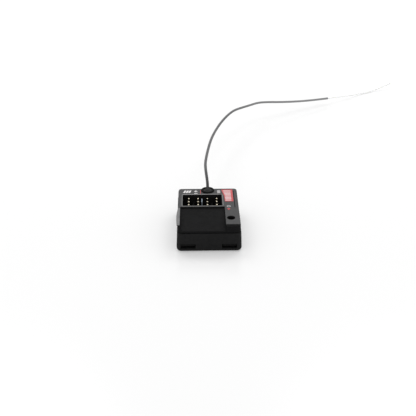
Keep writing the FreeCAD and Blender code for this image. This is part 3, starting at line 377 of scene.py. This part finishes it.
def cable(name, route, diameter, material):
    """A round cable on one smooth curve."""
    curve = bpy.data.curves.new(name, "CURVE")
    curve.dimensions = "3D"
    curve.bevel_depth = diameter / 2
    curve.bevel_resolution = 6
    curve.use_fill_caps = True
    curve.resolution_u = 10
    spline = curve.splines.new("NURBS")
    spline.points.add(len(route) - 1)
    for point, place in zip(spline.points, route):
        point.co = (*place, 1.0)
    spline.order_u = 3
    spline.use_endpoint_u = True
    return link(name, curve, material)


def turned(name, profile, start, heading, material, steps=32):
    """A lathe piece whose profile of (along, radius) pairs runs from a point along a heading."""
    mesh = bpy.data.meshes.new(name)
    work = bmesh.new()
    turn = Vector(heading).to_track_quat("Z", "Y")
    rings = []
    for along, radius in profile:
        ring = []
        for step in range(steps):
            angle = 2 * math.pi * step / steps
            local = Vector((radius * math.cos(angle), radius * math.sin(angle), along))
            ring.append(work.verts.new(Vector(start) + turn @ local))
        rings.append(ring)
    for ring, following in zip(rings, rings[1:]):
        for step in range(steps):
            beside = (step + 1) % steps
            work.faces.new((ring[step], ring[beside], following[beside], following[step]))
    work.faces.new(list(reversed(rings[0])))
    work.faces.new(rings[-1])
    for face in work.faces:
        face.smooth = len(face.verts) == 4
    work.to_mesh(mesh)
    work.free()
    return link(name, mesh, material)


def rounded_box(left, right, low, high, radius):
    """The outline of a rectangle with round corners, anticlockwise."""
    corners = [
        (right - radius, low + radius, -90), (right - radius, high - radius, 0),
        (left + radius, high - radius, 90), (left + radius, low + radius, 180),
    ]
    outline = []
    for across, along, first in corners:
        for step in range(ARC_STEPS + 1):
            angle = math.radians(first + 90 * step / ARC_STEPS)
            outline.append((across + radius * math.cos(angle), along + radius * math.sin(angle)))
    return outline


def disc(across, along, radius):
    """The outline of a circle, anticlockwise."""
    steps = ARC_STEPS * 6
    angles = [2 * math.pi * step / steps for step in range(steps)]
    return [(across + radius * math.cos(a), along + radius * math.sin(a)) for a in angles]


def slanted(left, right, low, high, lean):
    """A bar that leans to the right by some length over its height."""
    return [(left, low), (right, low), (right + lean, high), (left + lean, high)]


def print_areas(name, outlines, material, rise=INK_RISE):
    """Filled areas of ink on the label's top, all in one piece; also the painted shadow strip."""
    mesh = bpy.data.meshes.new(name)
    work = bmesh.new()
    for outline in outlines:
        low = [work.verts.new((x, y, LABEL_TOP - INK_SINK)) for x, y in outline]
        high = [work.verts.new((x, y, LABEL_TOP + rise)) for x, y in outline]
        count = len(outline)
        work.faces.new(high)
        work.faces.new(list(reversed(low)))
        for step in range(count):
            beside = (step + 1) % count
            work.faces.new((low[step], low[beside], high[beside], high[step]))
    work.to_mesh(mesh)
    work.free()
    return link(name, mesh, material)


def print_frame(name, outer, inner, material):
    """A closed line of ink between two outlines with equally many points."""
    high = LABEL_TOP + INK_RISE
    low = LABEL_TOP - INK_SINK
    mesh = bpy.data.meshes.new(name)
    work = bmesh.new()
    loops = []
    for outline, level in ((outer, high), (inner, high), (inner, low), (outer, low)):
        loops.append([work.verts.new((x, y, level)) for x, y in outline])
    count = len(outer)
    for number, loop in enumerate(loops):
        following = loops[(number + 1) % len(loops)]
        for step in range(count):
            beside = (step + 1) % count
            work.faces.new((loop[step], loop[beside], following[beside], following[step]))
    bmesh.ops.recalc_face_normals(work, faces=work.faces)
    work.to_mesh(mesh)
    work.free()
    return link(name, mesh, material)


def add_aerial():
    """The jacketed cable, its cut end and the stripped tip."""
    coax = cable("antenna_coax_jacket", COAX_ROUTE, COAX_DIAMETER, MATERIALS["coax_jacket"])
    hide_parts("antenna_coax")
    tip = cable("antenna_tip_core", TIP_ROUTE, CORE_DIAMETER, MATERIALS["cable_core"])
    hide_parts("antenna_tip")

    heading = Vector(TIP_ROUTE[1]) - Vector(TIP_ROUTE[0])
    outer = COAX_DIAMETER / 2
    lip = 0.06 * MM
    cut_end = turned("jacket_cut_end", [
        (-0.5 * MM, outer * 0.98), (-0.35 * MM, outer + lip / 2), (-0.1 * MM, outer + lip),
        (0.05 * MM, outer + lip * 0.7), (0.12 * MM, outer * 0.9), (0.12 * MM, CORE_DIAMETER / 2),
    ], TIP_ROUTE[0], heading, MATERIALS["coax_jacket"])

    end_heading = Vector(TIP_ROUTE[-1]) - Vector(TIP_ROUTE[-2])
    wire = CONDUCTOR_DIAMETER / 2
    conductor = turned("aerial_conductor", [
        (-0.6 * MM, wire), (0.18 * MM, wire), (0.22 * MM, wire * 0.7),
    ], TIP_ROUTE[-1], end_heading, MATERIALS["solder"], steps=16)


def add_snap_disc():
    """The switch's sprung contact, which flattens under the button's collar when pressed; here it is
    drawn at rest.
    """
    low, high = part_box("bind_switch_dome")
    base = Vector((HOLE.x, HOLE.y, low.z))
    tall = high.z - low.z
    rim = (high.x - low.x) / 2
    crown = 0.05 * MM
    snap = turned("bind_switch_snap_disc", [
        (tall - DOME_LEAF, crown), (DOME_SHOULDER_HEIGHT - DOME_LEAF, DOME_SHOULDER), (0.0, rim),
        (DOME_LEAF, rim), (DOME_SHOULDER_HEIGHT, DOME_SHOULDER), (tall, crown),
    ], base, (0, 0, 1), MATERIALS["contact_steel"])
    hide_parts("bind_switch_dome")
    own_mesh(snap)


def print_window(frame_ink, line_ink):
    """A thin frame round the ports' opening, with a second line along its far side."""
    line = 0.28 * MM
    corner = 0.5 * MM
    right = OPENING_RIGHT + 0.15 * MM
    inner = rounded_box(OPENING_LEFT, right, OPENING_FRONT, OPENING_BACK, corner)
    outer = rounded_box(OPENING_LEFT - line, right + line, OPENING_FRONT - line,
                        OPENING_BACK + line, corner + line)
    print_frame("print_window_line", outer, inner, frame_ink)
    far_line = rounded_box(OPENING_LEFT, right - 1.0 * MM, OPENING_BACK + 0.05 * MM,
                           OPENING_BACK + 0.3 * MM, 0.1 * MM)
    print_areas("print_rear_line", [far_line], line_ink, SECOND_INK_RISE)


def print_field(field_ink, stripe_ink):
    """The field on the right panel, whose left edge slants towards the rear, and its stripes."""
    left = OPENING_RIGHT + 1.1 * MM
    right = LABEL_RIGHT - 1.65 * MM
    front = LABEL_REAR - 11.0 * MM
    back = LABEL_REAR - 0.9 * MM
    turn = LABEL_REAR - 6.5 * MM
    print_areas("print_red_field", [[
        (left, front), (right, front), (right, back), (left - 1.1 * MM, back),
        (left - 0.15 * MM, turn),
    ]], field_ink)
    pitch = 1.14 * MM
    thick = 0.52 * MM
    stripes = []
    for number in range(8):
        low = front + 0.7 * MM + pitch * number
        slant = 0.95 * MM * max(0.0, low - turn) / (back - turn)
        stripes.append(rounded_box(left + 0.2 * MM - slant, right - 0.75 * MM, low, low + thick,
                                   MARK_CORNER))
    print_areas("print_field_stripes", stripes, stripe_ink, SECOND_INK_RISE)


def print_lines_and_front_shadow(dark_ink_and_painted_shadow, red_ink):
    """A dark line beside the field, a black strip along the front edge that is a painted shadow, and a
    short red line.
    """
    left = LABEL_RIGHT - 1.48 * MM
    side_line = rounded_box(left, left + 0.3 * MM, LABEL_REAR - 16.0 * MM,
                            LABEL_REAR - 1.9 * MM, 0.1 * MM)
    print_areas("print_side_line", [side_line], dark_ink_and_painted_shadow)
    # Painted shadow: the black strip along the right panel's front edge stands for the shade at the
    # label's front edge.
    inset = 0.02 * MM
    strip_left = RAMP_RIGHT + inset
    strip_right = LABEL_RIGHT - inset
    strip_front = LABEL_FRONT + inset
    strip_back = LABEL_FRONT + 0.5 * MM
    print_areas("painted_front_shadow",
                [[(strip_left, strip_front), (strip_right, strip_front),
                  (strip_right, strip_back), (strip_left, strip_back)]], dark_ink_and_painted_shadow)
    short_line = rounded_box(-2.95 * MM, -2.75 * MM, LABEL_REAR - 4.5 * MM,
                             LABEL_REAR - 1.2 * MM, 0.09 * MM)
    print_areas("print_red_line", [short_line], red_ink)


def print_marks(mark_ink, pale_ink):
    """Three slanted bars, a plus over a minus, and a plain tick, all along the rear edge."""
    rear = LABEL_REAR
    slant_wide = 0.75
    slants = [slanted(left * MM, (left + slant_wide) * MM, rear - 3.5 * MM, rear - 1.5 * MM,
                      0.55 * MM) for left in (-9.7, -8.7, -7.7)]
    bar_thick = 0.4
    bars = [rounded_box(-5.4 * MM, -4.0 * MM, rear - front * MM, rear - (front - bar_thick) * MM,
                        MARK_CORNER) for front in (2.45, 4.2)]
    upright = rounded_box(-4.9 * MM, -4.5 * MM, rear - 3.0 * MM, rear - 1.5 * MM, MARK_CORNER)
    tick = rounded_box(3.7 * MM, 4.95 * MM, rear - 3.9 * MM, rear - 1.4 * MM, 0.3 * MM)
    print_areas("print_rear_marks", slants + bars, mark_ink)
    print_areas("print_rear_tick", [tick], pale_ink)
    print_areas("print_plus_upright", [upright], mark_ink, INK_RISE * 1.5)


def print_button_marks(ring_ink, pointer_ink):
    """A ring and, between it and the button's hole, a pointer towards the hole."""
    ring_place = (HOLE.x - 0.45 * MM, HOLE.y + 9.05 * MM)
    print_frame("print_ring", disc(*ring_place, 0.75 * MM), disc(*ring_place, 0.4 * MM), ring_ink)
    tip_x = HOLE.x - 0.55 * MM
    half = 0.65 * MM
    back = HOLE.y + 7.3 * MM
    print_areas("print_pointer", [[(tip_x - half, back), (tip_x, HOLE.y + 6.0 * MM),
                                   (tip_x + half, back)]], pointer_ink)


def add_print():
    """The label's printing: plain marks in the colours that such labels have, and a painted shadow
    along its front edge.
    """
    white = ink("ink_white", (0.74, 0.72, 0.72))
    pale = ink("ink_pale", (0.4, 0.39, 0.39))
    red = ink("ink_red", (0.54, 0.045, 0.05))
    # The black ink serves both the print and the painted shadow along the label's front edge.
    black = ink("ink_black_and_painted_shadow", (0.003, 0.003, 0.003), 0.04)
    grey = ink("ink_grey", (0.16, 0.16, 0.155))
    print_window(grey, pale)
    print_field(red, white)
    print_lines_and_front_shadow(black, red)
    print_marks(white, pale)
    print_button_marks(pale, red)


def lifted_rows():
    """Points across the loose edge, from its root to its rim, row by row towards the front."""
    back = LABEL_FRONT + EDGE_LONG
    root = LABEL_LEFT + EDGE_ROOT
    rows = []
    for step in range(EDGE_STEPS + 1):
        share = step / EDGE_STEPS
        along = back + (LABEL_FRONT - back) * share
        bow = math.sin(math.pi * min(1.0, share * BOW_REACH)) ** BOW_SHAPE
        rim = LABEL_LEFT - EDGE_PAST - EDGE_BOW * bow
        row = []
        for part in EDGE_SHARES:
            level = LABEL_TOP + EDGE_ABOVE + EDGE_LIFT * bow * part ** CURL_SHAPE
            row.append(Vector((root + (rim - root) * part, along, level)))
        rows.append(row)
    return rows


def add_lifted_edge():
    """The label's left edge, which has come off the case and curls up along its bow."""
    mesh = bpy.data.meshes.new("label_lifted_edge")
    work = bmesh.new()
    rows = lifted_rows()
    sheets = []
    for drop in (0.0, EDGE_THICK):
        sheets.append([[work.verts.new(point - Vector((0, 0, drop))) for point in row]
                       for row in rows])
    top, under = sheets
    last = len(EDGE_SHARES) - 1
    for step in range(EDGE_STEPS):
        for column in range(last):
            quad = ((step, column), (step + 1, column), (step + 1, column + 1), (step, column + 1))
            work.faces.new([top[a][b] for a, b in quad])
            work.faces.new([under[a][b] for a, b in reversed(quad)])
    border = [(0, column) for column in range(last + 1)]
    border += [(step, last) for step in range(1, EDGE_STEPS + 1)]
    border += [(EDGE_STEPS, column) for column in range(last - 1, -1, -1)]
    border += [(step, 0) for step in range(EDGE_STEPS - 1, 0, -1)]
    for place, beside in zip(border, border[1:] + border[:1]):
        work.faces.new((top[place[0]][place[1]], top[beside[0]][beside[1]],
                        under[beside[0]][beside[1]], under[place[0]][place[1]]))
    bmesh.ops.recalc_face_normals(work, faces=work.faces)
    for face in work.faces:
        face.smooth = True
    work.to_mesh(mesh)
    work.free()
    # Painted sheen: the loose edge is the label's own film, given a lighter colour than the label for
    # the light that its curl catches.
    link("label_lifted_edge", mesh, label_film("label_edge_painted_sheen", (0.12, 0.12, 0.122), 0.5))


def lift_for_camera(material, share):
    """Mix some white into what the camera sees of a surface, which pales the shadows on it."""
    tree = material.node_tree
    white = tree.nodes.new("ShaderNodeEmission")
    path = tree.nodes.new("ShaderNodeLightPath")
    part = tree.nodes.new("ShaderNodeMath")
    part.operation = "MULTIPLY"
    part.inputs[1].default_value = share
    tree.links.new(path.outputs["Is Camera Ray"], part.inputs[0])
    mix = tree.nodes.new("ShaderNodeMixShader")
    tree.links.new(part.outputs["Value"], mix.inputs["Fac"])
    tree.links.new(shader_of(material).outputs["BSDF"], mix.inputs[1])
    tree.links.new(white.outputs["Emission"], mix.inputs[2])
    tree.links.new(mix.outputs["Shader"], tree.nodes["Material Output"].inputs["Surface"])


def add_floor():
    """A glossy white table that fills the view."""
    material = new_material("table", (0.88, 0.88, 0.88), 0.22, specular=0.45)
    lift_for_camera(material, TABLE_LIFT)
    bpy.ops.mesh.primitive_circle_add(vertices=96, radius=TABLE_RADIUS, fill_type="NGON",
                                      location=(0, 0, -TABLE_DROP))
    floor = bpy.context.object
    floor.name = "table"
    floor.data.materials.append(material)


def add_world():
    """White for the camera and reflections, and a plain level for the light that it gives."""
    world = bpy.data.worlds.new("studio")
    bpy.context.scene.world = world
    world.use_nodes = True
    tree = world.node_tree
    background = tree.nodes["Background"]
    background.inputs["Color"].default_value = (1.0, 1.0, 1.0, 1.0)
    path = tree.nodes.new("ShaderNodeLightPath")
    seen = tree.nodes.new("ShaderNodeMath")
    seen.operation = "MAXIMUM"
    tree.links.new(path.outputs["Is Camera Ray"], seen.inputs[0])
    tree.links.new(path.outputs["Is Glossy Ray"], seen.inputs[1])
    also = tree.nodes.new("ShaderNodeMath")
    also.operation = "MAXIMUM"
    tree.links.new(seen.outputs["Value"], also.inputs[0])
    tree.links.new(path.outputs["Is Transmission Ray"], also.inputs[1])
    strength = tree.nodes.new("ShaderNodeMapRange")
    strength.inputs["To Min"].default_value = WORLD_LIGHT
    strength.inputs["To Max"].default_value = WORLD_SEEN
    tree.links.new(also.outputs["Value"], strength.inputs["Value"])
    tree.links.new(strength.outputs["Result"], background.inputs["Strength"])


def add_lamp(name, place):
    """A round soft lamp that looks at the case."""
    data = bpy.data.lights.new(name, "AREA")
    data.shape = "DISK"
    data.size = LAMP_SIZE
    data.energy = LAMP_POWER
    lamp = bpy.data.objects.new(name, data)
    lamp.location = place
    lamp.rotation_euler = (Vector(LAMP_AIM) - Vector(place)).to_track_quat("-Z", "Y").to_euler()
    bpy.context.scene.collection.objects.link(lamp)


def add_camera():
    """The camera, without roll."""
    data = bpy.data.cameras.new("camera")
    data.sensor_width = CAMERA_SENSOR
    data.lens = CAMERA_LENS
    data.clip_start = 0.01
    data.clip_end = 20.0
    camera = bpy.data.objects.new("camera", data)
    camera.location = CAMERA_PLACE
    camera.rotation_euler = (math.pi / 2 - CAMERA_DOWN, 0.0, -CAMERA_RIGHT)
    bpy.context.scene.collection.objects.link(camera)
    bpy.context.scene.camera = camera


dress_nodes()
add_aerial()
add_snap_disc()
add_print()
add_lifted_edge()
add_floor()
add_world()
for lamp_name, lamp_place in LAMP_PLACES.items():
    add_lamp(lamp_name, lamp_place)
add_camera()
bpy.context.scene.view_settings.view_transform = "Standard"
